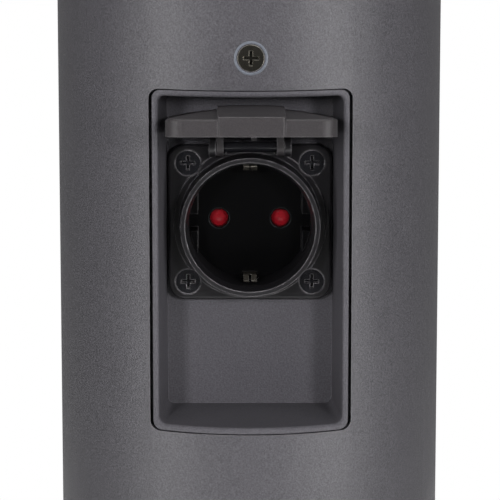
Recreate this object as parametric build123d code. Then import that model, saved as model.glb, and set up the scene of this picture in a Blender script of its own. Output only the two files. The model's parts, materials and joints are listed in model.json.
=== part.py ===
from build123d import *
import math
import os

# A garden socket post in millimetres: front on -Y, ground at z = 0, axis of the post on x = y = 0.

# Post, cap and foot
post_height = 400.0
tube_diameter = 120.0
tube_wall = 3.0
cap_thickness = 5.0
cap_chamfer = 1.0
cap_spigot_height = 14.0
cap_spigot_wall = 4.0
spigot_clearance = 0.2
cap_seal_section = 2.0
cap_seal_drop = 3.0
cap_seal_squeeze_gap = 0.1
cap_screw_drop = 9.0
foot_rim = 20.0
foot_thickness = 8.0
foot_chamfer = 1.5
foot_spigot_height = 25.0
foot_spigot_wall = 5.0
foot_screw_rise = 14.0
anchor_hole = 9.0
anchor_count = 4
anchor_turn = 45.0
entry_margin = 26.8
radial_screw_count = 3
radial_screw_turn = 90.0

# Machine screws with a countersunk cross-recess head, by thread size
m4_thread = 4.0
m4_head = 7.9
m4_length = 12.0
m5_thread = 5.0
m5_head = 9.6
m5_length = 9.0
m3_thread = 3.0
m3_head = 5.5
recess_width_share = 0.13
recess_span_share = 0.56
recess_depth_share = 0.24
screw_hole_clearance = 0.25
head_seat_gap = 0.1

# Niche in the tube and the moulded insert that lines it
niche_headroom = 55.3
insert_width = 60.0
insert_height = 103.0
insert_depth = 34.5
insert_wall = 1.8
insert_back = 3.0
insert_corner = 2.7
insert_side_draft = 4.5
insert_floor_draft = 0.4
insert_flush_drop = 0.25
cutout_clearance = 0.3
pocket_corner = 2.2
lip_round = 1.1
mouth_share = 0.85
rim_reach = 4.0
rim_thickness = 2.4
rim_clearance = 0.1
tab_width = 16.0
tab_screw_rise = 9.9
tab_top_rise = 15.5
tab_boss_diameter = 9.0
tab_boss_length = 9.0
tab_nut_diameter = 5.8
tab_nut_length = 6.0
gusset_thickness = 1.8
gusset_reach = 11.0

# Socket: flange, collar and well, measured from the flange's front face along the socket's axis
socket_drop = 43.4
flange_width = 50.0
flange_height = 48.0
flange_corner = 5.0
flange_thickness = 3.0
flange_edge_round = 0.8
gasket_thickness = 1.0
gasket_inset = 1.0
hole_pitch_x = 38.0
hole_pitch_z = 36.8
collar_height = 11.0
collar_diameter = 42.5
collar_base_diameter = 43.3
base_ring_diameter = 46.8
base_ring_height = 0.8
mouth_diameter = 39.6
mouth_cone_depth = 4.5
well_diameter = 37.6
well_depth = 20.0
skirt_diameter = 41.6
skirt_bore = 39.0
skirt_length = 24.0
back_opening_clearance = 0.4
boss_diameter = 8.6
boss_length = 8.0
thread_insert_diameter = 5.8
thread_insert_length = 7.0
clip_recess_width = 5.2
clip_recess_depth = 0.5

# Contact plate, shutter, base and contacts of the socket
pin_spacing = 19.0
pin_hole = 5.6
pin_hole_mouth = 6.4
pin_mouth_depth = 0.5
plate_thickness = 3.0
plate_clearance = 0.1
guide_half_gap = 16.0
guide_height = 19.0
guide_notch = 5.2
guide_gap = 0.2
shutter_chamber = 3.0
shutter_thickness = 2.2
shutter_gap = 0.2
shutter_hub = 8.0
shutter_pad = 7.0
shutter_arm_width = 4.0
shutter_crown = 0.9
shutter_pivot = 4.0
shutter_pivot_clearance = 0.06
spring_wire = 0.4
spring_mean_radius = 2.9
spring_turns_share = 0.8
spring_wire_sides = 6
spring_leg = 3.0
spring_play = 0.1
spring_pocket_depth = 0.7
spring_pocket_margin = 0.4
column_diameter = 5.2
column_x = 7.2
column_z = 10.2
column_screw_length = 14.0
column_pilot_depth = 3.4
base_length = 13.0
latch_width = 6.0
latch_length = 3.0
latch_reach = 0.8
latch_clearance = 0.15
sleeve_diameter = 7.0
sleeve_bore = 4.9
sleeve_slit = 0.8
sleeve_slit_length = 7.0
sleeve_clearance = 0.1
terminal_width = 7.0
terminal_height = 8.0
terminal_length = 6.0
terminal_screw_thread = 3.5
terminal_screw_head = 5.6
terminal_head_height = 1.6
screw_slot = 0.8
wire_hole = 2.4
earth_strip = 4.0
earth_strip_thickness = 0.6
earth_radius = 17.4
earth_nose_radius = 16.4
earth_tip_radius = 17.9
earth_nose_lead = 0.0
earth_tip_lead = 2.6
earth_root_depth = 6.5
earth_bend = 1.2
earth_slot_gap = 0.3
earth_fork = 0.8
earth_fork_length = 6.0
earth_bridge_gap = 0.3

# Lid, its hinge and its seal, drawn shut and turned open about the pin
hinge_rise = 24.0
hinge_lead = 5.0
hinge_pin_diameter = 3.0
hinge_pin_clearance = 0.06
ear_outer = 12.5
ear_thickness = 2.1
ear_radius = 3.0
arm_gap = 0.2
arm_thickness = 2.1
arm_radius = 2.9
arm_root_height = 3.2
ledge_inner = 7.3
ledge_depth = 1.9
ledge_height = 1.2
ledge_rise = 21.2
bridge_depth = 1.6
bridge_arch_gap = 1.6
lid_width = 49.6
lid_top_gap = 0.2
lid_free_drop = 23.6
lid_corner = 5.0
lid_wall = 1.8
lid_skirt_wall = 1.5
lid_skirt_height = 5.0
lid_crown = 3.0
lid_edge_round = 0.6
lid_pocket_radius = 17.6
band_width = 19.6
band_rise = 0.9
band_lead = 0.7
band_corner = 0.9
seal_inner_radius = 19.0
seal_outer_radius = 22.0
seal_thickness = 1.2
seal_gap = 0.1
stop_rib_width = 1.5
stop_rib_offset = 1.1
stop_rib_reach = 2.2
stop_tab_width = 3.6
stop_tab_reach = 0.9
lid_open_angle = 95.5

# Supply terminals inside the post, on a bent steel bracket
bracket_width = 34.0
bracket_thickness = 2.0
bracket_foot = 20.0
bracket_height = 74.0
bracket_gap = 11.8
bracket_bend = 3.0
bracket_screw_pitch = 18.0
tapped_depth = 6.0
block_pole_pitch = 11.0
block_pole_width = 9.6
block_depth = 16.0
block_height = 22.0
block_rail_height = 8.0
block_rail_depth = 6.0
block_base_rise = 52.0
block_tube_inset = 6.5
block_bore = 4.2
block_tube_diameter = 6.0
block_screw_diameter = 4.0
block_screw_length = 5.0
block_screw_offset = 6.0
block_fixing_pitch = 11.0
clamp_width = 30.0
clamp_height = 9.0
clamp_thickness = 7.0
clamp_rise = 22.0
clamp_bore = 11.0
clamp_screw_pitch = 22.0

# Wires from the supply terminals to the socket, and the bond to the tube
wire_diameter = 2.0
wire_end_play = 1.5
wire_bend = 12.0
bond_bend = 5.0
bond_gap = 15.8
bond_y = 4.0
bond_drop = 12.0
bond_rise = 12.0
bond_run = 8.0
lug_thickness = 0.8
lug_ring = 8.4
lug_neck = 6.0
lug_barrel_length = 6.0
lug_barrel_diameter = 3.2
lug_bore_clearance = 0.05

overrun = 1.0

# Places that follow from the sizes
tube_radius = tube_diameter / 2
foot_diameter = tube_diameter + 2 * foot_rim
anchor_circle = tube_diameter + foot_rim
tube_inner = tube_radius - tube_wall
ring_bore_radius = tube_inner - spigot_clearance - foot_spigot_wall
entry_diameter = 2 * (ring_bore_radius - entry_margin)
bracket_back = ring_bore_radius - bracket_gap
bond_x = ring_bore_radius - bond_gap
tube_bottom = foot_thickness
tube_top = post_height - cap_thickness
spigot_radius = tube_inner - spigot_clearance
cap_screw_height = tube_top - cap_screw_drop
foot_screw_height = foot_thickness + foot_screw_rise
insert_front = -tube_radius
insert_floor_y = insert_front + insert_depth
insert_rear_y = insert_floor_y + insert_back
insert_top = tube_top - niche_headroom
niche_centre_height = insert_top - insert_height / 2
insert_bottom = niche_centre_height - insert_height / 2
insert_screw_height = insert_top + tab_screw_rise
flange_y = insert_floor_y - gasket_thickness - flange_thickness
socket_height = insert_top - socket_drop
flange_rear = flange_thickness
plate_front = well_depth - collar_height
plate_rear = plate_front + plate_thickness
base_front = plate_rear + shutter_chamber
base_rear = base_front + base_length
skirt_rear = skirt_length
terminal_rear = base_rear + terminal_length
terminal_middle = base_rear + terminal_length / 2
bridge_middle = base_rear + earth_bridge_gap + earth_strip_thickness / 2
lid_ceiling = collar_height + seal_thickness + seal_gap
lid_face = lid_ceiling + lid_wall
lid_rim = lid_face - lid_skirt_height
crown_radius = ((lid_width / 2) ** 2 + lid_crown ** 2) / (2 * lid_crown)
radial_angles = [radial_screw_turn + 360 / radial_screw_count * i for i in range(radial_screw_count)]
flange_holes = [(x * hole_pitch_x / 2, z * hole_pitch_z / 2) for z in (1, -1) for x in (-1, 1)]
block_bottom = foot_thickness + block_base_rise
block_top = block_bottom + block_height
block_centre = block_bottom + block_height / 2
bracket_face = bracket_back - bracket_thickness
block_front = bracket_face - block_depth
clamp_centre = foot_thickness + clamp_rise
block_middle = block_front + block_tube_inset
socket_place = Location((0, flange_y, socket_height))


# Shared building blocks

def front_view(x, y, z):
    """A plane that faces the front, with its own x to the right and y up."""
    return Plane(origin=(x, y, z), x_dir=(1, 0, 0), z_dir=(0, -1, 0))


def prism(sketch, rear, front, x=0, z=0):
    """A front-view sketch as a solid that reaches from y = rear forward to y = front."""
    return extrude(front_view(x, rear, z) * sketch, amount=rear - front)


def rod(radius, rear, front, x=0, z=0):
    return prism(Circle(radius), rear, front, x, z)


def ring(outer, inner, rear, front, x=0, z=0):
    return prism(Circle(outer) - Circle(inner), rear, front, x, z)


def cone(rear_radius, front_radius, rear, front, x=0, z=0):
    body = Cone(rear_radius, front_radius, rear - front, align=(Align.CENTER, Align.CENTER, Align.MIN))
    return front_view(x, rear, z).location * body


def block(x0, x1, y0, y1, z0, z1):
    """A box from its two corners."""
    centre = ((x0 + x1) / 2, (y0 + y1) / 2, (z0 + z1) / 2)
    return Pos(*centre) * Box(abs(x1 - x0), abs(y1 - y0), abs(z1 - z0))


def upright(radius, bottom, top, x=0, y=0):
    body = Cylinder(radius, top - bottom, align=(Align.CENTER, Align.CENTER, Align.MIN))
    return Pos(x, y, bottom) * body


def outward(angle, radius, height):
    """A place on the tube whose own Z points straight out of it."""
    turn = math.radians(angle)
    direction = (math.cos(turn), math.sin(turn), 0)
    origin = (radius * direction[0], radius * direction[1], height)
    return Plane(origin=origin, x_dir=(-direction[1], direction[0], 0), z_dir=direction).location


def countersunk_screw(thread, head, length):
    """A countersunk screw that hangs down from z = 0, with a cross recess in its head."""
    head_height = (head - thread) / 2
    low = (Align.CENTER, Align.CENTER, Align.MAX)
    screw = Cone(thread / 2, head / 2, head_height, align=low)
    screw += Cylinder(thread / 2, length, align=low)
    arm = Box(head * recess_span_share, head * recess_width_share, head * recess_depth_share, align=low)
    return screw - arm - Rot(0, 0, 90) * arm


def countersink(thread, head, depth):
    """The hole that a countersunk screw sits in, with the seat just clear of its head."""
    seat = head + 2 * head_seat_gap
    low = (Align.CENTER, Align.CENTER, Align.MAX)
    hole = Cone(0.0, seat / 2, seat / 2, align=low)
    hole += Cylinder(thread / 2 + screw_hole_clearance, depth, align=low)
    return hole + Cylinder(seat / 2, overrun, align=(Align.CENTER, Align.CENTER, Align.MIN))


def joined(solids):
    return Compound(children=list(solids))


def rounded_rectangle(width, height, corner):
    return RectangleRounded(width, height, corner)


# Post tube, cap and foot

def niche_cutter():
    """Cuts the tube's front wall where the insert shows."""
    clear = 2 * cutout_clearance
    corner = insert_corner + cutout_clearance
    outline = rounded_rectangle(insert_width + clear, insert_height + clear, corner)
    return prism(outline, 0, insert_front - overrun, 0, niche_centre_height)


def make_post_tube():
    tube = upright(tube_radius, tube_bottom, tube_top) - upright(tube_inner, tube_bottom, tube_top)
    tube -= niche_cutter()
    radial_hole = countersink(m5_thread, m5_head, tube_wall + overrun)
    for angle in radial_angles:
        for height in (foot_screw_height, cap_screw_height):
            tube -= outward(angle, tube_radius, height) * radial_hole
    insert_hole = countersink(m4_thread, m4_head, tube_wall + overrun)
    return tube - outward(-90, tube_radius, insert_screw_height) * insert_hole


def make_top_cap():
    disc = upright(tube_radius, tube_top, post_height)
    disc = chamfer(disc.edges().group_by(Axis.Z)[-1], cap_chamfer)
    low = tube_top - cap_spigot_height
    spigot = upright(spigot_radius, low, tube_top) - upright(spigot_radius - cap_spigot_wall, low, tube_top)
    cap = disc + spigot
    groove_top = tube_top - cap_seal_drop
    groove = upright(spigot_radius + overrun, groove_top - cap_seal_section, groove_top)
    groove -= upright(cap_seal_bed(), groove_top - cap_seal_section, groove_top)
    cap -= groove
    for angle in radial_angles:
        hole = Cylinder(m5_thread / 2, cap_spigot_wall + 2 * overrun)
        cap -= outward(angle, spigot_radius - cap_spigot_wall / 2, cap_screw_height) * hole
    return cap


def cap_seal_bed():
    """The radius of the groove's floor, on which the seal ring sits."""
    return tube_inner - cap_seal_squeeze_gap - cap_seal_section


def make_cap_seal():
    top = tube_top - cap_seal_drop
    low = top - cap_seal_section
    return upright(cap_seal_bed() + cap_seal_section, low, top) - upright(cap_seal_bed(), low, top)


def make_radial_screws(height):
    screw = countersunk_screw(m5_thread, m5_head, m5_length)
    return joined(outward(angle, tube_radius, height) * screw for angle in radial_angles)


def make_foot_spigot():
    """The ring welded onto the foot flange, which the tube slips over."""
    top = foot_thickness + foot_spigot_height
    spigot = upright(spigot_radius, foot_thickness, top)
    spigot -= upright(spigot_radius - foot_spigot_wall, foot_thickness, top)
    for angle in radial_angles:
        hole = Cylinder(m5_thread / 2, foot_spigot_wall + 2 * overrun)
        spigot -= outward(angle, spigot_radius - foot_spigot_wall / 2, foot_screw_height) * hole
    return spigot


def make_foot_flange():
    disc = upright(foot_diameter / 2, 0, foot_thickness)
    disc = chamfer(disc.edges().group_by(Axis.Z)[-1], foot_chamfer)
    foot = disc - upright(entry_diameter / 2, -overrun, foot_thickness + overrun)
    for spot in PolarLocations(anchor_circle / 2, anchor_count, anchor_turn):
        foot -= spot * Cylinder(anchor_hole / 2, 3 * foot_thickness)
    tapped_low = foot_thickness - tapped_depth
    for x, y in bracket_screw_spots() + [(bond_x, bond_y)]:
        foot -= upright(m4_thread / 2, tapped_low, foot_thickness + overrun, x, y)
    return foot


# Insert of the niche

def insert_section(inset, y):
    """The insert's outline at depth y, drawn in by its drafts and by the wall that inset gives."""
    back = y - insert_front
    side = back * math.tan(math.radians(insert_side_draft))
    floor = back * math.tan(math.radians(insert_floor_draft))
    half_width = insert_width / 2 - side - inset
    half_height = insert_height / 2 - floor - inset
    return front_view(0, y, niche_centre_height), half_width, half_height


def tapered_box(inset, front, rear, corner):
    sections = []
    for y in (front, rear):
        plane, half_width, half_height = insert_section(inset, y)
        outline = Rectangle(2 * half_width, 2 * half_height)
        if corner > 0:
            outline = rounded_rectangle(2 * half_width, 2 * half_height, corner)
        sections.append(plane * outline)
    return loft(sections)


def tube_shell(outer, inner, half_width, bottom, top):
    """A piece of a wall that follows the inside of the tube, on its front side."""
    shell = upright(outer, bottom, top) - upright(inner, bottom, top)
    return shell & block(-half_width, half_width, -tube_radius, 0, bottom, top)


def make_niche_insert():
    front = insert_front - overrun
    shell = tapered_box(0, front, insert_rear_y, insert_corner)
    rim_outer = tube_inner - rim_clearance
    rim_inner = rim_outer - rim_thickness
    rim_half = insert_width / 2 + rim_reach
    rim_low = insert_bottom - rim_reach
    rim_high = insert_top + rim_reach
    tab_high = insert_top + tab_top_rise
    shell += tube_shell(rim_outer, rim_inner, rim_half, rim_low, rim_high)
    shell += tube_shell(rim_outer, rim_inner, tab_width / 2, insert_top, tab_high)
    tab_rear = tab_boss_length - rim_outer
    boss = rod(tab_boss_diameter / 2, tab_rear, -rim_outer, 0, insert_screw_height)
    shell += boss & upright(rim_outer, insert_top, tab_high)
    for x in (-tab_width / 2, tab_width / 2 - gusset_thickness):
        profile = Polyline(
            (-rim_inner - rim_thickness / 2, tab_high),
            (-rim_inner - rim_thickness / 2, insert_top - insert_wall),
            (-rim_inner + gusset_reach, insert_top - insert_wall),
            close=True,
        )
        shell += extrude(Plane.YZ.offset(x) * make_face(profile), amount=gusset_thickness)
    boss_rear = insert_rear_y + boss_length
    boss_root = insert_floor_y + insert_back / 2
    for x, z in flange_holes:
        shell += rod(boss_diameter / 2, boss_rear, boss_root, x, socket_height + z)
    shell -= tapered_box(insert_wall, front - overrun, insert_floor_y, pocket_corner)
    shell &= upright(tube_radius - insert_flush_drop, insert_bottom - rim_reach, tab_high)
    shell = fillet(lip_edges(shell), lip_round)
    opening = skirt_diameter / 2 + back_opening_clearance
    shell -= rod(opening, insert_rear_y + overrun, insert_floor_y - overrun, 0, socket_height)
    screw_bore = m4_thread / 2 + screw_hole_clearance
    nut_bore = thread_insert_diameter / 2
    for x, z in flange_holes:
        height = socket_height + z
        shell -= rod(screw_bore, boss_rear + overrun, insert_floor_y - overrun, x, height)
        shell -= rod(nut_bore, boss_rear + overrun, boss_rear - thread_insert_length, x, height)
    shell -= rod(screw_bore, tab_rear + overrun, -tube_radius, 0, insert_screw_height)
    shell -= rod(tab_nut_diameter / 2, tab_rear + overrun, tab_nut_front(), 0, insert_screw_height)
    return shell


def lip_edges(shell):
    """The edges all round the niche's mouth, where its walls meet the front."""
    reach_x = insert_width / 2 - mouth_share * insert_wall
    reach_z = insert_height / 2 - mouth_share * insert_wall

    def at_mouth(edge):
        spot = edge.center()
        within = abs(spot.X) < reach_x and abs(spot.Z - niche_centre_height) < reach_z
        in_front = spot.Y < -tube_inner * mouth_share
        return within and in_front and abs(edge.tangent_at(0.5).Y) < mouth_share

    return shell.edges().filter_by(at_mouth)


def tab_nut_front():
    """Where the threaded insert in the tab's boss starts."""
    return -tube_inner + rim_clearance + tab_boss_length - tab_nut_length


def make_insert_screw():
    return outward(-90, tube_radius, insert_screw_height) * countersunk_screw(m4_thread, m4_head, m4_length)


def make_insert_nut():
    rear = tab_nut_front() + tab_nut_length
    return ring(tab_nut_diameter / 2, m4_thread / 2, rear, tab_nut_front(), 0, insert_screw_height)


# Socket housing with its flange and collar, drawn about the socket's own axis

def flange_outline(inset):
    return rounded_rectangle(flange_width - 2 * inset, flange_height - 2 * inset, flange_corner - inset)


def make_flange_gasket():
    gasket = prism(flange_outline(gasket_inset), flange_rear + gasket_thickness, flange_rear)
    gasket -= rod(skirt_diameter / 2 + back_opening_clearance, flange_rear + 2 * gasket_thickness, 0)
    for x, z in flange_holes:
        gasket -= rod(m4_thread / 2 + screw_hole_clearance, flange_rear + 2 * gasket_thickness, 0, x, z)
    return socket_place * gasket


def hinge_ear(side):
    """One ear of the flange: a plate round the pin, standing on a short ledge."""
    outline = Pos(-hinge_lead, hinge_rise) * Circle(ear_radius)
    outline += Pos(-hinge_lead / 2, hinge_rise) * Rectangle(hinge_lead, 2 * ear_radius)
    x0 = side * (ear_outer - ear_thickness / 2) - ear_thickness / 2
    ear = extrude(Plane.YZ.offset(x0) * outline, amount=ear_thickness)
    ledge_top = ledge_rise + ledge_height
    ledge = block(side * ledge_inner, side * ear_outer, -ledge_depth, 0, ledge_rise, ledge_top)
    return ear + ledge


def make_socket_housing():
    flange = prism(flange_outline(0), flange_rear, 0)
    front_edges = flange.edges().group_by(Axis.Y)[0]
    housing = fillet(front_edges, flange_edge_round)
    housing += rod(base_ring_diameter / 2, 0, -base_ring_height)
    housing += cone(collar_base_diameter / 2, collar_diameter / 2, 0, -collar_height)
    housing += rod(skirt_diameter / 2, skirt_rear, flange_rear)
    bridge = block(-ledge_inner, ledge_inner, -bridge_depth, 0, ledge_rise, hinge_rise)
    housing += bridge - rod(base_ring_diameter / 2 - bridge_arch_gap, 0, -bridge_depth - overrun)
    for side in (-1, 1):
        housing += hinge_ear(side)
    pin_bore = Cylinder(hinge_pin_diameter / 2, 2 * ear_outer + 2 * overrun, rotation=(0, 90, 0))
    housing -= Pos(0, -hinge_lead, hinge_rise) * pin_bore
    housing -= rod(well_diameter / 2, skirt_rear + overrun, -collar_height - overrun)
    housing -= cone(well_diameter / 2, mouth_diameter / 2, mouth_cone_depth - collar_height, -collar_height)
    housing -= rod(skirt_bore / 2, skirt_rear + overrun, plate_front)
    half = clip_recess_width / 2
    reach = well_diameter / 2 + clip_recess_depth
    well_core = rod(well_diameter / 2 - overrun, plate_front + 2 * overrun, -overrun)
    for side in (-1, 1):
        housing -= block(-half, half, 0, plate_front + overrun, 0, side * reach) - well_core
        housing -= latch_box(side, latch_clearance)
    screw_hole = countersink(m4_thread, m4_head, flange_thickness + overrun)
    for x, z in flange_holes:
        housing -= front_view(x, 0, z).location * screw_hole
    return socket_place * housing


def latch_box(side, clear):
    """The base's snap nose on one side, or with a clearance the window that it snaps into."""
    rear = base_front + (skirt_rear - base_front) / 2 + latch_length / 2 + clear
    front = rear - latch_length - 2 * clear
    inner = skirt_bore / 2 - overrun
    outer = skirt_bore / 2 + latch_reach + clear
    half = latch_width / 2 + clear
    return block(side * inner, side * outer, front, rear, -half, half)


def make_flange_screws():
    screw = countersunk_screw(m4_thread, m4_head, m4_length)
    return joined(socket_place * front_view(x, 0, z).location * screw for x, z in flange_holes)


def make_thread_inserts():
    rear = insert_rear_y + boss_length
    front = rear - thread_insert_length
    outer = thread_insert_diameter / 2
    return joined(ring(outer, m4_thread / 2, rear, front, x, socket_height + z) for x, z in flange_holes)


# Inside of the socket

def column_spots():
    return [(-column_x, column_z), (column_x, -column_z)]


def earth_slots(rear, front):
    """The two slots that the earth strip passes through."""
    half = earth_strip / 2 + earth_slot_gap
    reach = earth_strip_thickness / 2 + earth_slot_gap
    upper = block(-half, half, front, rear, earth_radius - reach, earth_radius + reach)
    return upper + mirror(upper, Plane.XY)


def make_contact_plate():
    radius = skirt_bore / 2 - plate_clearance
    plate = rod(radius, plate_rear, plate_front)
    guide_radius = well_diameter / 2 - guide_gap
    guides = rod(guide_radius, plate_front + overrun, 0)
    guides &= block(-skirt_bore, skirt_bore, 0, plate_front + overrun, -guide_height / 2, guide_height / 2)
    guides -= block(-guide_half_gap, guide_half_gap, -overrun, plate_rear, -guide_height, guide_height)
    guides -= block(-skirt_bore, skirt_bore, -overrun, plate_front, -guide_notch / 2, guide_notch / 2)
    plate += guides
    for x, z in column_spots():
        plate += rod(column_diameter / 2, base_front, plate_rear - overrun, x, z)
        plate -= rod(m3_thread / 2, base_front + overrun, base_front - column_pilot_depth, x, z)
    for side in (-1, 1):
        x = side * pin_spacing / 2
        plate -= rod(pin_hole / 2, plate_rear + overrun, plate_front - overrun, x)
        plate -= cone(pin_hole / 2, pin_hole_mouth / 2, plate_front + pin_mouth_depth, plate_front, x)
    plate -= earth_slots(plate_rear + overrun, plate_front - overrun)
    return socket_place * plate


def make_shutter():
    front = plate_rear + shutter_gap
    rear = front + shutter_thickness
    arm = Rectangle(pin_spacing, shutter_arm_width)
    shutter = prism(arm + Circle(shutter_hub / 2), rear, front + shutter_crown)
    pad_radius = shutter_pad / 2
    dome_radius = (pad_radius ** 2 + shutter_crown ** 2) / (2 * shutter_crown)
    for side in (-1, 1):
        x = side * pin_spacing / 2
        pad = rod(pad_radius, rear, front, x)
        shutter += pad & Pos(x, front + dome_radius, 0) * Sphere(dome_radius)
        shutter += rod(pad_radius, rear, front + shutter_crown, x)
    shutter -= rod(shutter_pivot / 2 + shutter_pivot_clearance, rear + overrun, front - overrun)
    return socket_place * shutter


def make_shutter_spring():
    """An open ring of wire round the pivot, with one leg bent back into the base."""
    wire_radius = spring_wire / 2
    middle = base_front + spring_pocket_depth - spring_play - wire_radius
    section = Pos(spring_mean_radius, middle) * RegularPolygon(wire_radius, spring_wire_sides)
    spring = revolve(section, Axis.Y, 360 * spring_turns_share)
    spring += rod(wire_radius, middle + spring_leg, middle, spring_mean_radius)
    return socket_place * spring


def sleeve_pockets(rear, front, clear):
    spots = [rod(sleeve_diameter / 2 + clear, rear, front, s * pin_spacing / 2) for s in (-1, 1)]
    return spots[0] + spots[1]


def make_terminal_base():
    radius = skirt_bore / 2 - plate_clearance
    base = rod(radius, base_rear, base_front)
    base += rod(shutter_pivot / 2, base_front + overrun, plate_rear + shutter_gap / 2)
    spring_outer = spring_mean_radius + spring_wire / 2 + spring_pocket_margin
    pocket_floor = base_front + spring_pocket_depth
    base -= ring(spring_outer, shutter_pivot / 2, pocket_floor, base_front - overrun)
    leg_bore = spring_wire / 2 + spring_play
    base -= rod(leg_bore, pocket_floor + spring_leg, base_front, spring_mean_radius)
    for side in (-1, 1):
        base += latch_box(side, 0)
    base -= sleeve_pockets(base_rear + overrun, base_front - overrun, sleeve_clearance)
    for x, z in column_spots():
        base -= rod(m3_thread / 2 + screw_hole_clearance, base_rear + overrun, base_front - overrun, x, z)
    base -= earth_slots(base_rear + overrun, base_front - overrun)
    return socket_place * base


def make_carrier_screws():
    screws = []
    for x, z in column_spots():
        back_view = Plane(origin=(x, base_rear, z), x_dir=(1, 0, 0), z_dir=(0, 1, 0)).location
        low = (Align.CENTER, Align.CENTER, Align.MIN)
        head = Cylinder(m3_head / 2, m3_thread / 2, align=low)
        slot = Box(m3_head * recess_span_share, m3_head * recess_width_share, m3_thread / 2)
        head -= Pos(0, 0, m3_thread / 2) * (slot + Rot(0, 0, 90) * slot)
        shank = Cylinder(m3_thread / 2, column_screw_length, align=(Align.CENTER, Align.CENTER, Align.MAX))
        screws.append(socket_place * back_view * (head + shank))
    return joined(screws)


def make_contact(side):
    """A pin contact: a slit sleeve for the pin, with a screw terminal behind it."""
    x = side * pin_spacing / 2
    contact = rod(sleeve_diameter / 2, base_rear, base_front, x)
    half = terminal_width / 2
    top = terminal_height / 2
    slit = sleeve_slit / 2
    slit_end = base_front + sleeve_slit_length
    contact += block(x - half, x + half, base_rear, terminal_rear, -top, top)
    contact -= rod(sleeve_bore / 2, base_rear, base_front - overrun, x)
    contact -= block(x - slit, x + slit, base_front - overrun, slit_end, -sleeve_diameter, sleeve_diameter)
    contact -= upright(wire_hole / 2, -terminal_height, terminal_height, x, terminal_middle)
    contact -= rod(terminal_screw_thread / 2, terminal_rear + overrun, terminal_middle, x)
    return socket_place * contact


def make_earth_contact():
    """One bent strip: both clips in the well, joined by a bridge behind the base."""
    route = [
        (-earth_tip_lead, earth_tip_radius),
        (earth_nose_lead, earth_nose_radius),
        (earth_root_depth, earth_radius),
        (bridge_middle, earth_radius),
    ]
    path = FilletPolyline(*route, *[(y, -z) for y, z in reversed(route)], radius=earth_bend)
    profile = trace(path, earth_strip_thickness)
    strip = extrude(Plane.YZ.offset(-earth_strip / 2) * profile, amount=earth_strip)
    fork = earth_fork / 2
    fork_end = earth_fork_length - earth_tip_lead
    for side in (-1, 1):
        near = side * earth_nose_radius / 2
        far = side * skirt_bore / 2
        strip -= block(-fork, fork, -earth_tip_lead - overrun, fork_end, near, far)
    half = terminal_width / 2
    top = terminal_height / 2
    face = bridge_middle + earth_strip_thickness / 2
    middle = face + terminal_length / 2
    clamp = block(-half, half, face, earth_terminal_rear(), -top, top)
    clamp -= upright(wire_hole / 2, -terminal_height, terminal_height, 0, middle)
    clamp -= rod(terminal_screw_thread / 2, earth_terminal_rear() + overrun, middle)
    return socket_place * (strip + clamp)


def terminal_screw(rear, x):
    """A cheese-head screw in the back of one terminal."""
    head_end = rear + terminal_head_height
    slot_floor = rear + terminal_head_height / 2
    left = x - terminal_screw_head
    right = x + terminal_screw_head
    half = screw_slot / 2
    screw = rod(terminal_screw_head / 2, head_end, rear, x)
    screw -= block(left, right, slot_floor, head_end + overrun, -half, half)
    reach = terminal_length / 2 - wire_hole / 2
    return screw + rod(terminal_screw_thread / 2, rear, rear - reach, x)


def earth_terminal_rear():
    return bridge_middle + earth_strip_thickness / 2 + terminal_length


def make_terminal_screws():
    spots = [(terminal_rear, side * pin_spacing / 2) for side in (-1, 1)]
    spots += [(earth_terminal_rear(), 0)]
    return joined(socket_place * terminal_screw(rear, x) for rear, x in spots)


# Lid

def lid_turned(solid):
    """Turns a solid that is drawn with the lid shut to where the open lid holds it."""
    axis = Axis((0, -hinge_lead, hinge_rise), (1, 0, 0))
    return socket_place * solid.rotate(axis, -lid_open_angle)


def lid_arm(side):
    outline = Pos(-hinge_lead, hinge_rise) * Circle(arm_radius)
    root_top = hinge_rise - lid_top_gap
    root = Pos(-lid_ceiling, root_top - arm_root_height / 2) * Rectangle(lid_wall, arm_root_height / 2)
    hull = make_hull(outline.edges() + root.edges())
    inner = ear_outer - ear_thickness - arm_gap - arm_thickness
    x0 = inner if side > 0 else -inner - arm_thickness
    return extrude(Plane.YZ.offset(x0) * hull, amount=arm_thickness)


def crown_form(height, middle, offset):
    """Two crossed barrel vaults that meet at hips, moved outward by the offset."""
    peak = lid_face + lid_crown
    end_radius = ((height / 2) ** 2 + lid_crown ** 2) / (2 * lid_crown)
    across = upright(crown_radius + offset, -lid_width, lid_width, 0, crown_radius - peak)
    along = Cylinder(end_radius + offset, 2 * lid_width, rotation=(0, 90, 0))
    return across & Pos(0, end_radius - peak, middle) * along


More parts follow.
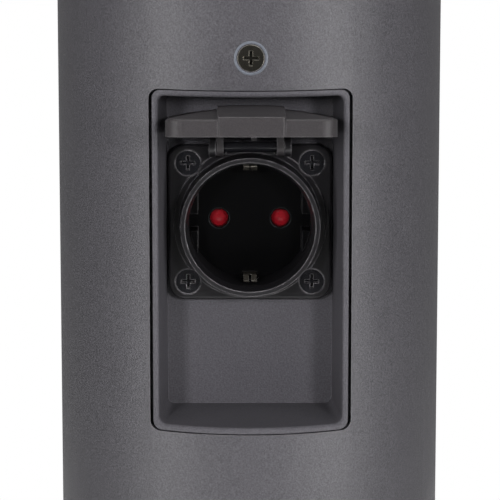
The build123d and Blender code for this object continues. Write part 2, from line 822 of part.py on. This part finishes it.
def make_lid():
    top = hinge_rise - lid_top_gap
    height = top + lid_free_drop
    middle = (top - lid_free_drop) / 2
    face = rounded_rectangle(lid_width, height, lid_corner)
    outer = prism(face, -lid_rim, -lid_face - lid_crown - overrun, 0, middle)
    band_outer = band_rise + lid_face + lid_crown
    outer &= crown_form(height, middle, 0)
    rim_edges = outer.edges().filter_by(lambda e: abs(e.center().Y + lid_face) < lid_edge_round)
    lid = fillet(rim_edges, lid_edge_round)
    band_low = -lid_free_drop - band_lead
    band = block(-band_width / 2, band_width / 2, -band_outer, -lid_rim, band_low, top)
    corners = band.edges().filter_by(Axis.Y).group_by(Axis.Z)[0]
    band = fillet(corners, band_corner) & crown_form(height, middle, band_rise)
    lid += band
    pocket_width = lid_width - 2 * lid_skirt_wall
    pocket = rounded_rectangle(pocket_width, height - 2 * lid_skirt_wall, lid_corner - lid_skirt_wall)
    lid -= prism(pocket, overrun, -lid_ceiling, 0, middle)
    bowl = rod(lid_pocket_radius, 0, -band_outer)
    lid -= bowl & crown_form(height, middle, -lid_wall)
    for side in (-1, 1):
        lid += lid_arm(side)
    pin_bore = Cylinder(hinge_pin_diameter / 2 + hinge_pin_clearance, 2 * ear_outer, rotation=(0, 90, 0))
    lid -= Pos(0, -hinge_lead, hinge_rise) * pin_bore
    rib_left = stop_rib_offset - stop_rib_width / 2
    rib_right = rib_left + stop_rib_width
    tab_left = rib_left - stop_tab_width
    wall_low = top - lid_skirt_wall
    lid += block(rib_left, rib_right, -lid_face, stop_rib_reach - lid_rim, wall_low, top)
    lid += block(tab_left, rib_left, -lid_face, stop_tab_reach - lid_rim, wall_low, top)
    return lid_turned(lid)


def make_lid_seal():
    seal = ring(seal_outer_radius, seal_inner_radius, seal_thickness - lid_ceiling, -lid_ceiling)
    return lid_turned(seal)


def make_hinge_pin():
    pin = Cylinder(hinge_pin_diameter / 2, 2 * ear_outer, rotation=(0, 90, 0))
    return socket_place * Pos(0, -hinge_lead, hinge_rise) * pin


# Supply terminals on their bracket

def bracket_screw_spots():
    y = bracket_back - bracket_foot / 2
    return [(x, y) for x in (-bracket_screw_pitch / 2, bracket_screw_pitch / 2)]


def clamp_screw_spots():
    return [(x, clamp_centre) for x in (-clamp_screw_pitch / 2, clamp_screw_pitch / 2)]


def block_fixing_spots():
    return [(x, block_centre) for x in (-block_fixing_pitch / 2, block_fixing_pitch / 2)]


def make_terminal_bracket():
    low = foot_thickness + bracket_thickness / 2
    rear = bracket_back - bracket_thickness / 2
    path = FilletPolyline(
        (bracket_back - bracket_foot, low),
        (rear, low),
        (rear, foot_thickness + bracket_height),
        radius=bracket_bend,
    )
    profile = trace(path, bracket_thickness)
    bracket = extrude(Plane.YZ.offset(-bracket_width / 2) * profile, amount=bracket_width)
    for x, y in bracket_screw_spots():
        bracket -= upright(m4_thread / 2 + screw_hole_clearance, 0, low + bracket_thickness, x, y)
    for x, z in clamp_screw_spots() + block_fixing_spots():
        bracket -= rod(m3_thread / 2, bracket_back + overrun, bracket_face - overrun, x, z)
    return bracket


def pan_screw(thread, head, head_height, length):
    """A pan-head screw that hangs down from the seat of its head at z = 0."""
    screw = Cylinder(head / 2, head_height, align=(Align.CENTER, Align.CENTER, Align.MIN))
    slot = Box(head * recess_span_share, head * recess_width_share, head_height)
    screw -= Pos(0, 0, head_height) * (slot + Rot(0, 0, 90) * slot)
    return screw + Cylinder(thread / 2, length, align=(Align.CENTER, Align.CENTER, Align.MAX))


def make_bracket_screws():
    seat = foot_thickness + bracket_thickness
    screw = pan_screw(m4_thread, m4_head, m4_thread / 2, bracket_thickness + tapped_depth - overrun)
    return joined(Pos(x, y, seat) * screw for x, y in bracket_screw_spots())


def pole_places():
    return [i * block_pole_pitch for i in (-1, 0, 1)]


def make_terminal_block():
    half = block_pole_width / 2
    spread = block_pole_pitch + half
    rail_low = block_centre - block_rail_height / 2
    rail_front = bracket_face - block_rail_depth
    body = block(-spread, spread, rail_front, bracket_face, rail_low, rail_low + block_rail_height)
    for x in pole_places():
        body += block(x - half, x + half, block_front, bracket_face, block_bottom, block_top)
    screw_bore = block_screw_diameter / 2 + screw_hole_clearance
    low = block_bottom - overrun
    for x in pole_places():
        body -= upright(block_tube_diameter / 2, low, block_top + overrun, x, block_middle)
        for z in pole_screw_heights():
            body -= rod(screw_bore, block_middle, block_front - overrun, x, z)
    for x, z in block_fixing_spots():
        body -= rod(m3_thread / 2 + screw_hole_clearance, bracket_face + overrun, rail_front, x, z)
        body -= rod(m3_head / 2 + screw_hole_clearance, rail_front, block_front - overrun, x, z)
    return body


def pole_screw_heights():
    return [block_centre - block_screw_offset, block_centre + block_screw_offset]


def make_block_tubes():
    tubes = []
    for x in pole_places():
        tube = upright(block_tube_diameter / 2, block_bottom, block_top, x, block_middle)
        tube -= upright(block_bore / 2, block_bottom - overrun, block_top + overrun, x, block_middle)
        for z in pole_screw_heights():
            tube -= rod(block_screw_diameter / 2, block_middle, block_front, x, z)
        tubes.append(tube)
    return joined(tubes)


def make_block_screws():
    rear = block_middle - block_bore / 4
    front = rear - block_screw_length
    half = screw_slot / 2
    screw = rod(block_screw_diameter / 2, rear, front)
    reach = block_screw_diameter
    screw -= block(-reach, reach, front - overrun, front + screw_slot, -half, half)
    return joined(Pos(x, 0, z) * screw for x in pole_places() for z in pole_screw_heights())


def facing_screw(y, x, z, length):
    place = front_view(x, y, z).location
    return place * pan_screw(m3_thread, m3_head, m3_thread / 2, length)


def make_block_fixings():
    seat = bracket_face - block_rail_depth
    length = block_rail_depth + bracket_thickness
    return joined(facing_screw(seat, x, z, length) for x, z in block_fixing_spots())


def make_cable_clamp():
    """The saddle that holds the supply cable against the bracket."""
    front = bracket_face - clamp_thickness
    half = clamp_width / 2
    low = clamp_centre - clamp_height / 2
    high = clamp_centre + clamp_height / 2
    saddle = block(-half, half, front, bracket_face, low, high)
    saddle -= upright(clamp_bore / 2, low - overrun, high + overrun, 0, bracket_face)
    for x, z in clamp_screw_spots():
        saddle -= rod(m3_thread / 2 + screw_hole_clearance, bracket_face + overrun, front - overrun, x, z)
    return saddle


def make_clamp_screws():
    seat = bracket_face - clamp_thickness
    length = clamp_thickness + bracket_thickness
    return joined(facing_screw(seat, x, z, length) for x, z in clamp_screw_spots())


# Wires

def wire(points, bend):
    """A round wire along straight runs joined by tangent arcs."""
    path = FilletPolyline(*points, radius=bend)
    start = Plane(origin=path @ 0, z_dir=path % 0)
    return sweep(start * Circle(wire_diameter / 2), path=path)


def make_core_wire(pole_x, terminal_x, rear):
    """A wire from one pole of the block up into one terminal of the socket."""
    y_top = flange_y + rear - terminal_length / 2
    z_top = socket_height - terminal_height / 2 + wire_end_play
    z_low = block_top - wire_end_play
    rise = (z_top - z_low) / 3
    points = [
        (pole_x, block_middle, z_low),
        (pole_x, block_middle, z_low + rise),
        (terminal_x, y_top, z_top - rise),
        (terminal_x, y_top, z_top),
    ]
    return wire(points, wire_bend)


def lug_axis_height():
    return foot_thickness + lug_barrel_diameter / 2


def make_bond_lug():
    """The ring lug that bonds the metal foot to the protective earth."""
    top = foot_thickness + lug_thickness
    lug = upright(lug_ring / 2, foot_thickness, top, bond_x, bond_y)
    barrel_start = bond_y + lug_neck
    half = lug_barrel_diameter / 2
    lug += block(bond_x - half, bond_x + half, bond_y, barrel_start + lug_thickness, foot_thickness, top)
    lug += rod(half, barrel_start + lug_barrel_length, barrel_start, bond_x, lug_axis_height())
    hole = m4_thread / 2 + screw_hole_clearance
    lug -= upright(hole, foot_thickness - overrun, top + overrun, bond_x, bond_y)
    bore = wire_diameter / 2 + lug_bore_clearance
    barrel_end = barrel_start + lug_barrel_length
    lug -= rod(bore, barrel_end + overrun, barrel_start + lug_thickness, bond_x, lug_axis_height())
    return lug


def make_bond_screw():
    seat = foot_thickness + lug_thickness
    screw = pan_screw(m4_thread, m4_head, m4_thread / 2, lug_thickness + tapped_depth - overrun)
    return Pos(bond_x, bond_y, seat) * screw


def make_bond_wire():
    end = bond_y + lug_neck + lug_barrel_length / 2
    height = lug_axis_height()
    points = [
        (0, block_middle, block_bottom + wire_end_play),
        (0, block_middle, block_bottom - bond_drop),
        (bond_x, end + 2 * bond_run, height + bond_rise),
        (bond_x, end + bond_run, height),
        (bond_x, end, height),
    ]
    return wire(points, bond_bend)


nodes = {
    "post_tube": make_post_tube,
    "top_cap": make_top_cap,
    "cap_seal": make_cap_seal,
    "cap_screws": lambda: make_radial_screws(cap_screw_height),
    "foot_flange": make_foot_flange,
    "foot_spigot": make_foot_spigot,
    "foot_screws": lambda: make_radial_screws(foot_screw_height),
    "niche_insert": make_niche_insert,
    "insert_screw": make_insert_screw,
    "insert_nut": make_insert_nut,
    "flange_gasket": make_flange_gasket,
    "socket_housing": make_socket_housing,
    "flange_screws": make_flange_screws,
    "thread_inserts": make_thread_inserts,
    "contact_plate": make_contact_plate,
    "shutter": make_shutter,
    "shutter_spring": make_shutter_spring,
    "terminal_base": make_terminal_base,
    "carrier_screws": make_carrier_screws,
    "line_contact": lambda: make_contact(-1),
    "neutral_contact": lambda: make_contact(1),
    "earth_contact": make_earth_contact,
    "terminal_screws": make_terminal_screws,
    "lid": make_lid,
    "lid_seal": make_lid_seal,
    "hinge_pin": make_hinge_pin,
    "terminal_bracket": make_terminal_bracket,
    "bracket_screws": make_bracket_screws,
    "terminal_block": make_terminal_block,
    "block_tubes": make_block_tubes,
    "block_screws": make_block_screws,
    "block_fixings": make_block_fixings,
    "cable_clamp": make_cable_clamp,
    "clamp_screws": make_clamp_screws,
    "line_wire": lambda: make_core_wire(-block_pole_pitch, -pin_spacing / 2, terminal_rear),
    "neutral_wire": lambda: make_core_wire(block_pole_pitch, pin_spacing / 2, terminal_rear),
    "earth_wire": lambda: make_core_wire(0, 0, earth_terminal_rear()),
    "bond_lug": make_bond_lug,
    "bond_screw": make_bond_screw,
    "bond_wire": make_bond_wire,
}

os.makedirs("parts", exist_ok=True)
for name, make in nodes.items():
    export_step(make(), f"parts/{name}.step")
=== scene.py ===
import json
import math

import bmesh
import bpy
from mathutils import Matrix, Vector


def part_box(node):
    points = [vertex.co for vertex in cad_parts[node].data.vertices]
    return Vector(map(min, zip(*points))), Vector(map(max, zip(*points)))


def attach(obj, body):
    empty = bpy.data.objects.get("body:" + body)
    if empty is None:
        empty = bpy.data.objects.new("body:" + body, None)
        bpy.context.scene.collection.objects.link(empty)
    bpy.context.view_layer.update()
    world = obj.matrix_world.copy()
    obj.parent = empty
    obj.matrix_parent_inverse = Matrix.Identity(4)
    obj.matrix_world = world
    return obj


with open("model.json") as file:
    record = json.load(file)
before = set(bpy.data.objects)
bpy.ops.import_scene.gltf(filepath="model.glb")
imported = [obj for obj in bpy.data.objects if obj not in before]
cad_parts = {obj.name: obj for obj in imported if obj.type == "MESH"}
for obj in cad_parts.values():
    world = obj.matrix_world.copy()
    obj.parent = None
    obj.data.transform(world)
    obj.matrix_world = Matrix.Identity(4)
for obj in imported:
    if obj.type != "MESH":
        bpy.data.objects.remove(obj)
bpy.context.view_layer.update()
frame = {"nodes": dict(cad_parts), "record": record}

MM = 0.001

# Camera: an image plane nearly parallel to the post, seen slightly from above and from the left
camera_distance = 850 * MM
camera_height = 422.8 * MM
camera_yaw = math.radians(0.5)
camera_target = Vector((0, -29.5 * MM, 287.7 * MM))
camera_lens = 194.7
sensor_width = 36.0

# Light: the world gets brighter from front to rear, and each lamp has its place and size in metres
# and its power in watts
world_front = 0.035
world_rear = 0.28
world_turn = (-0.1, 0.9)
lamps = {
    "left_box": ((-0.86, -0.73, 0.20), (0.44, 0.38), 4.3),
    "left_high_box": ((-0.86, -0.73, 0.64), (0.44, 0.47), 4.6),
    "right_box": ((0.86, -0.77, 0.20), (0.50, 0.38), 5.8),
    "right_high_box": ((0.86, -0.77, 0.64), (0.50, 0.47), 6.6),
    "front_left_box": ((-0.24, -0.73, 0.46), (0.08, 0.10), 5.7),
    "front_right_box": ((0.24, -0.73, 0.46), (0.08, 0.10), 5.7),
    "top_box": ((0.0, -0.65, 1.20), (0.8, 0.4), 3.0),
    "rear_left_box": ((-0.55, 1.25, 0.6), (0.5, 0.9), 10.0),
    "rear_right_box": ((0.55, 1.25, 0.6), (0.5, 0.9), 10.0),
    "overhead_box": ((0.0, 0.15, 1.70), (0.9, 0.9), 8.0),
}

# Lamps that no glossy surface mirrors
matt_lamps = ("left_high_box", "right_high_box", "front_left_box", "front_right_box",
              "rear_left_box", "rear_right_box")
lamp_target = Vector((0, 0, 290 * MM))

# The paint's raised edge round the screw above the niche: its section runs from the hole outwards,
# in shares of the edge's width and height
screw_ring_gap = 0.28 * MM
screw_ring_width = 0.85 * MM
screw_ring_height = 0.16 * MM
screw_ring_sides = 96
screw_ring_profile_shares = ((0.0, -2.0), (0.1, 0.5), (0.3, 1.0), (0.6, 0.9), (0.85, 0.4),
                             (1.0, -0.5))

# Floor: grey to the light, and to the camera it fades to white between two distances in metres
floor_half = 0.75
floor_grey = 0.5
floor_glow_share = 0.75
floor_fade = (0.22, 0.62)

# How the nodes are shaded: smooth across small angles, with a narrow bevel on the sharper ones
smooth_angle = math.radians(32)
bevel_angle = math.radians(35)
bevel_segments = 2

# What all finishes share: their noise, in millimetres, and how much their gloss changes
noise_middle = (0.3, 0.7)
noise_roughness = 0.6
grain_detail = 3.0
cloud_size = 18.0
cloud_detail = 4.0
gloss_spread = 0.03

# Painted highlight on the edges: a lighter colour where the softened normal leaves the face's own,
# laid in patches
edge_samples = 4
edge_flat = 0.99
edge_sharp = 0.88
highlight_patch = 2.2
highlight_detail = 2.0
highlight_least = 0.1

# The colour sockets of a Mix node, whose names its other sockets have too
mix_first = 6
mix_second = 7
mix_result = 2


# Building blocks for materials

def new_material(name):
    made = bpy.data.materials.new(name)
    made.use_nodes = True
    made.node_tree.nodes.clear()
    return made


def add(tree, kind, **values):
    """A shader node with its named inputs or attributes set."""
    node = tree.nodes.new(kind)
    for key, value in values.items():
        if key in node.inputs:
            node.inputs[key].default_value = value
        else:
            setattr(node, key, value)
    return node


def noise(tree, size, detail):
    """Noise in the object's own space, so that its grain has a real size, given in millimetres."""
    place = add(tree, "ShaderNodeTexCoord")
    texture = add(tree, "ShaderNodeTexNoise", Scale=1 / (size * MM), Detail=detail,
                  Roughness=noise_roughness)
    tree.links.new(place.outputs["Object"], texture.inputs["Vector"])
    return texture.outputs["Fac"]


def map_range(tree, value, source, result, **settings):
    """Maps the range source onto the range result, and holds what lies beyond at its ends."""
    ramp = add(tree, "ShaderNodeMapRange", clamp=True, **settings)
    for key, limit in zip(("From Min", "From Max", "To Min", "To Max"), (*source, *result)):
        ramp.inputs[key].default_value = limit
    tree.links.new(value, ramp.inputs["Value"])
    return ramp.outputs["Result"]


def spread(tree, value, low, high):
    """Maps a noise's middle range onto low to high."""
    return map_range(tree, value, noise_middle, (low, high))


def edge_mask(tree, width):
    """The normal softened over width, in millimetres, and a mask: 1 on edges, 0 on flat faces."""
    softened = add(tree, "ShaderNodeBevel", samples=edge_samples, Radius=width * MM)
    place = add(tree, "ShaderNodeNewGeometry")
    along = add(tree, "ShaderNodeVectorMath", operation="DOT_PRODUCT")
    tree.links.new(softened.outputs[0], along.inputs[0])
    tree.links.new(place.outputs["Normal"], along.inputs[1])
    mask = map_range(tree, along.outputs["Value"], (edge_flat, edge_sharp), (0.0, 1.0))
    return softened.outputs[0], mask


def grained(name, colour, roughness, grain, depth, mottle=0.08, cloud=0.03, metallic=0.0,
            painted_edge_highlight=None, **shader):
    """A finish with fine grain in its surface and slight, larger changes of colour and gloss.

    grain is the width of a grain and depth its height, both in millimetres. mottle and cloud are
    how far the grain and the larger patches change the colour. The edge setting gives the edges a
    width, in millimetres, over which the normal is softened, and a lighter colour painted there as
    a highlight.
    """
    made = new_material(name)
    tree = made.node_tree
    out = add(tree, "ShaderNodeOutputMaterial")
    surface = add(tree, "ShaderNodeBsdfPrincipled", Metallic=metallic)
    for key, value in shader.items():
        surface.inputs[key.replace("_", " ").title().replace("Ior", "IOR")].default_value = value
    fine = noise(tree, grain, grain_detail)
    broad = noise(tree, cloud_size, cloud_detail)
    bump = add(tree, "ShaderNodeBump", Strength=1.0, Distance=depth * MM)
    strength = add(tree, "ShaderNodeMath", operation="MULTIPLY")
    tree.links.new(spread(tree, fine, 1 - mottle, 1 + mottle), strength.inputs[0])
    tree.links.new(spread(tree, broad, 1 - cloud, 1 + cloud), strength.inputs[1])
    tinted = add(tree, "ShaderNodeVectorMath", operation="SCALE")
    tinted.inputs[0].default_value = colour
    tree.links.new(strength.outputs[0], tinted.inputs["Scale"])
    base = tinted.outputs[0]
    # Painted highlight: the edges get a lighter colour, in noise patches, where the softened
    # normal leaves the face's own
    if painted_edge_highlight:
        edges = add(tree, "ShaderNodeMix", data_type="RGBA", blend_type="MIX")
        patchy = noise(tree, highlight_patch, highlight_detail)
        shown = add(tree, "ShaderNodeMath", operation="MULTIPLY")
        softened, mask = edge_mask(tree, painted_edge_highlight[0])
        tree.links.new(softened, bump.inputs["Normal"])
        tree.links.new(mask, shown.inputs[0])
        tree.links.new(spread(tree, patchy, highlight_least, 1.0), shown.inputs[1])
        tree.links.new(shown.outputs[0], edges.inputs[0])
        tree.links.new(base, edges.inputs[mix_first])
        edges.inputs[mix_second].default_value = (*painted_edge_highlight[1], 1)
        base = edges.outputs[mix_result]
    tree.links.new(base, surface.inputs["Base Color"])
    tree.links.new(spread(tree, broad, roughness - gloss_spread, roughness + gloss_spread),
                   surface.inputs["Roughness"])
    tree.links.new(fine, bump.inputs["Height"])
    tree.links.new(bump.outputs["Normal"], surface.inputs["Normal"])
    tree.links.new(surface.outputs["BSDF"], out.inputs["Surface"])
    return made


# The colour given with each finish's edge width is a painted highlight on its edges
finishes = {
    "post_paint": grained("post_paint", (0.0310, 0.0297, 0.0333), 0.44, 0.50, 0.09, mottle=0.45,
                          painted_edge_highlight=(0.3, (0.085, 0.082, 0.088))),
    # The ring's paint is lighter and bluer than the post's: a painted highlight on its raised edge
    "ring_paint_highlight": grained("ring_paint_highlight", (0.060, 0.066, 0.078), 0.35, 0.5, 0.03, mottle=0.25),
    "insert_plastic": grained("insert_plastic", (0.036, 0.0345, 0.0390), 0.56, 0.48, 0.07,
                              mottle=0.38, painted_edge_highlight=(0.3, (0.070, 0.067, 0.073)),
                              specular_ior_level=0.3),
    "socket_plastic": grained("socket_plastic", (0.0050, 0.0047, 0.0054), 0.34, 0.45, 0.02,
                              mottle=0.3, painted_edge_highlight=(0.55, (0.135, 0.129, 0.137))),
    # The lid's plastic is a lighter copy of the socket's black plastic: painted light on the lid
    "lid_plastic_painted_light": grained("lid_plastic_painted_light", (0.0150, 0.0134, 0.0143), 0.50, 0.45, 0.03, mottle=0.4,
                           painted_edge_highlight=(0.35, (0.09, 0.085, 0.09))),
    # The contact plate's plastic is a darker copy of the socket's: painted shade deep in the well
    "contact_plastic_painted_shade": grained("contact_plastic_painted_shade", (0.0010, 0.0010, 0.0011), 0.34, 0.45, 0.01,
                               mottle=0.2, painted_edge_highlight=(0.3, (0.045, 0.043, 0.045)),
                               specular_ior_level=0.1),
    # The clip's metal is far darker than plated steel: painted shade in its slot
    "clip_metal_painted_shade": grained("clip_metal_painted_shade", (0.11, 0.10, 0.085), 0.18, 0.4, 0.003, metallic=0.85,
                          painted_edge_highlight=(0.25, (1.0, 0.95, 0.85))),
    "zinc_dark": grained("zinc_dark", (0.050, 0.047, 0.040), 0.33, 0.4, 0.006, mottle=0.2,
                         metallic=0.9, painted_edge_highlight=(0.25, (0.55, 0.52, 0.44))),
    "shutter_red": grained("shutter_red", (0.096, 0.0030, 0.0053), 0.28, 0.5, 0.004, mottle=0.05),
    "block_plastic": grained("block_plastic", (0.75, 0.75, 0.72), 0.45, 0.3, 0.01, mottle=0.03),
    "seal_rubber": grained("seal_rubber", (0.018, 0.018, 0.019), 0.62, 0.2, 0.01, mottle=0.1),
    "black_screws": grained("black_screws", (0.005, 0.005, 0.006), 0.24, 0.4, 0.006, mottle=0.2,
                            painted_edge_highlight=(0.3, (0.20, 0.19, 0.20))),
    "contact_brass": grained("contact_brass", (0.72, 0.55, 0.28), 0.25, 0.5, 0.003, metallic=1.0),
    "plated_steel": grained("plated_steel", (0.60, 0.60, 0.62), 0.27, 0.4, 0.003, metallic=1.0),
    "wire_brown": grained("wire_brown", (0.20, 0.09, 0.04), 0.4, 0.4, 0.005),
    "wire_blue": grained("wire_blue", (0.04, 0.12, 0.45), 0.4, 0.4, 0.005),
    "wire_green": grained("wire_green", (0.12, 0.40, 0.06), 0.4, 0.4, 0.005),
}

# Nodes whose finish differs from the rest of their slot
own_finish = {
    "insert_screw": "zinc_dark",
    # The contact plate's darker plastic is painted shade in the well
    "contact_plate": "contact_plastic_painted_shade",
    # The lid's lighter plastic is painted light
    "lid": "lid_plastic_painted_light",
    # The clip's dark metal is painted shade in its slot
    "earth_contact": "clip_metal_painted_shade",
}

# The bevel on the edges of the nodes that show, in millimetres
edge_width = {
    "niche_insert": 0.25,
    "socket_housing": 0.32,
    "lid": 0.25,
    "contact_plate": 0.22,
    "flange_screws": 0.2,
    "post_tube": 0.25,
    "top_cap": 0.35,
    "foot_flange": 0.35,
    "hinge_pin": 0.15,
    "insert_screw": 0.15,
    "cap_screws": 0.15,
    "foot_screws": 0.15,
}


def new_object(name, data):
    made = bpy.data.objects.new(name, data)
    bpy.context.collection.objects.link(made)
    return made


def shade_smooth(mesh):
    mesh.polygons.foreach_set("use_smooth", [True] * len(mesh.polygons))


def finish_nodes():
    """Gives every carried-over node its finish and smooth shading, and those that show a bevel."""
    slots = {row["node"]: row["material_slot"] for row in frame["record"]["subparts"]}
    for name, obj in frame["nodes"].items():
        mesh = obj.data
        mesh.materials.clear()
        mesh.materials.append(finishes[own_finish.get(name, slots[name])])
        shade_smooth(mesh)
        mesh.set_sharp_from_angle(angle=smooth_angle)
        if name in edge_width:
            bevel = obj.modifiers.new("edge", "BEVEL")
            bevel.width = edge_width[name] * MM
            bevel.segments = bevel_segments
            bevel.limit_method = "ANGLE"
            bevel.angle_limit = bevel_angle
            bevel.harden_normals = True


def make_screw_ring():
    """The paint's raised edge round the screw above the niche, as a ring that follows the tube."""
    low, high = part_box("insert_screw")
    centre_z = (low[2] + high[2]) / 2
    tube_low, tube_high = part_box("post_tube")
    tube_radius = (tube_high[0] - tube_low[0]) / 2
    hole_radius = (high[2] - low[2]) / 2 + screw_ring_gap
    mesh = bmesh.new()
    rings = []
    for share, rise in screw_ring_profile_shares:
        radius = hole_radius + share * screw_ring_width
        circle = []
        for index in range(screw_ring_sides):
            angle = 2 * math.pi * index / screw_ring_sides
            x = radius * math.cos(angle)
            z = centre_z + radius * math.sin(angle)
            y = -math.sqrt(tube_radius ** 2 - x ** 2) - rise * screw_ring_height
            circle.append(mesh.verts.new((x, y, z)))
        rings.append(circle)
    for inner, outer in zip(rings, rings[1:]):
        for index in range(screw_ring_sides):
            after = (index + 1) % screw_ring_sides
            mesh.faces.new((inner[index], inner[after], outer[after], outer[index]))
    bmesh.ops.recalc_face_normals(mesh, faces=mesh.faces)
    data = bpy.data.meshes.new("screw_ring")
    mesh.to_mesh(data)
    mesh.free()
    shade_smooth(data)
    # Its lighter, bluer colour is a painted highlight on the raised edge
    data.materials.append(finishes["ring_paint_highlight"])
    ring = new_object("screw_ring", data)
    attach(ring, "post")


def make_floor():
    mesh = bpy.data.meshes.new("floor")
    corners = [(x * floor_half, y * floor_half, 0)
               for x, y in ((-1, -1), (1, -1), (1, 1), (-1, 1))]
    mesh.from_pydata(corners, [], [(0, 1, 2, 3)])
    made = new_material("floor")
    tree = made.node_tree
    out = add(tree, "ShaderNodeOutputMaterial")
    matt = add(tree, "ShaderNodeBsdfDiffuse", Color=(floor_grey, floor_grey, floor_grey, 1))
    glow = add(tree, "ShaderNodeEmission", Color=(1, 1, 1, 1), Strength=1.0)
    path = add(tree, "ShaderNodeLightPath")
    place = add(tree, "ShaderNodeTexCoord")
    reach = add(tree, "ShaderNodeVectorMath", operation="LENGTH")
    tree.links.new(place.outputs["Object"], reach.inputs[0])
    fade = map_range(tree, reach.outputs["Value"], floor_fade, (floor_glow_share, 1.0),
                     interpolation_type="SMOOTHSTEP")
    share = add(tree, "ShaderNodeMath", operation="MULTIPLY")
    tree.links.new(path.outputs["Is Camera Ray"], share.inputs[0])
    tree.links.new(fade, share.inputs[1])
    mix = add(tree, "ShaderNodeMixShader")
    tree.links.new(share.outputs[0], mix.inputs[0])
    tree.links.new(matt.outputs[0], mix.inputs[1])
    tree.links.new(glow.outputs[0], mix.inputs[2])
    tree.links.new(mix.outputs[0], out.inputs["Surface"])
    mesh.materials.append(made)
    new_object("floor", mesh)


def aim(obj, target):
    obj.rotation_euler = (target - obj.location).to_track_quat("-Z", "Y").to_euler()


def make_lamps():
    for name, (place, size, power) in lamps.items():
        data = bpy.data.lights.new(name, "AREA")
        data.shape = "RECTANGLE"
        data.size, data.size_y = size
        data.energy = power
        lamp = new_object(name, data)
        lamp.location = place
        lamp.visible_glossy = name not in matt_lamps
        aim(lamp, lamp_target)


def make_world():
    world = bpy.data.worlds.new("studio")
    bpy.context.scene.world = world
    world.use_nodes = True
    tree = world.node_tree
    tree.nodes.clear()
    out = add(tree, "ShaderNodeOutputWorld")
    path = add(tree, "ShaderNodeLightPath")
    seen = add(tree, "ShaderNodeBackground", Color=(1, 1, 1, 1), Strength=1.0)
    light = add(tree, "ShaderNodeBackground", Color=(1, 1, 1, 1))
    place = add(tree, "ShaderNodeTexCoord")
    parts = add(tree, "ShaderNodeSeparateXYZ")
    tree.links.new(place.outputs["Generated"], parts.inputs[0])
    strength = map_range(tree, parts.outputs["Y"], world_turn, (world_front, world_rear))
    tree.links.new(strength, light.inputs["Strength"])
    mix = add(tree, "ShaderNodeMixShader")
    tree.links.new(path.outputs["Is Camera Ray"], mix.inputs[0])
    tree.links.new(light.outputs[0], mix.inputs[1])
    tree.links.new(seen.outputs[0], mix.inputs[2])
    tree.links.new(mix.outputs[0], out.inputs["Surface"])


def make_camera():
    data = bpy.data.cameras.new("camera")
    data.lens = camera_lens
    data.sensor_width = sensor_width
    camera = new_object("camera", data)
    x = -camera_distance * math.sin(camera_yaw)
    y = -camera_distance * math.cos(camera_yaw)
    camera.location = (x, y, camera_height)
    aim(camera, camera_target)
    bpy.context.scene.camera = camera


finish_nodes()
make_screw_ring()
make_floor()
make_lamps()
make_world()
make_camera()
bpy.context.scene.view_settings.view_transform = "Standard"
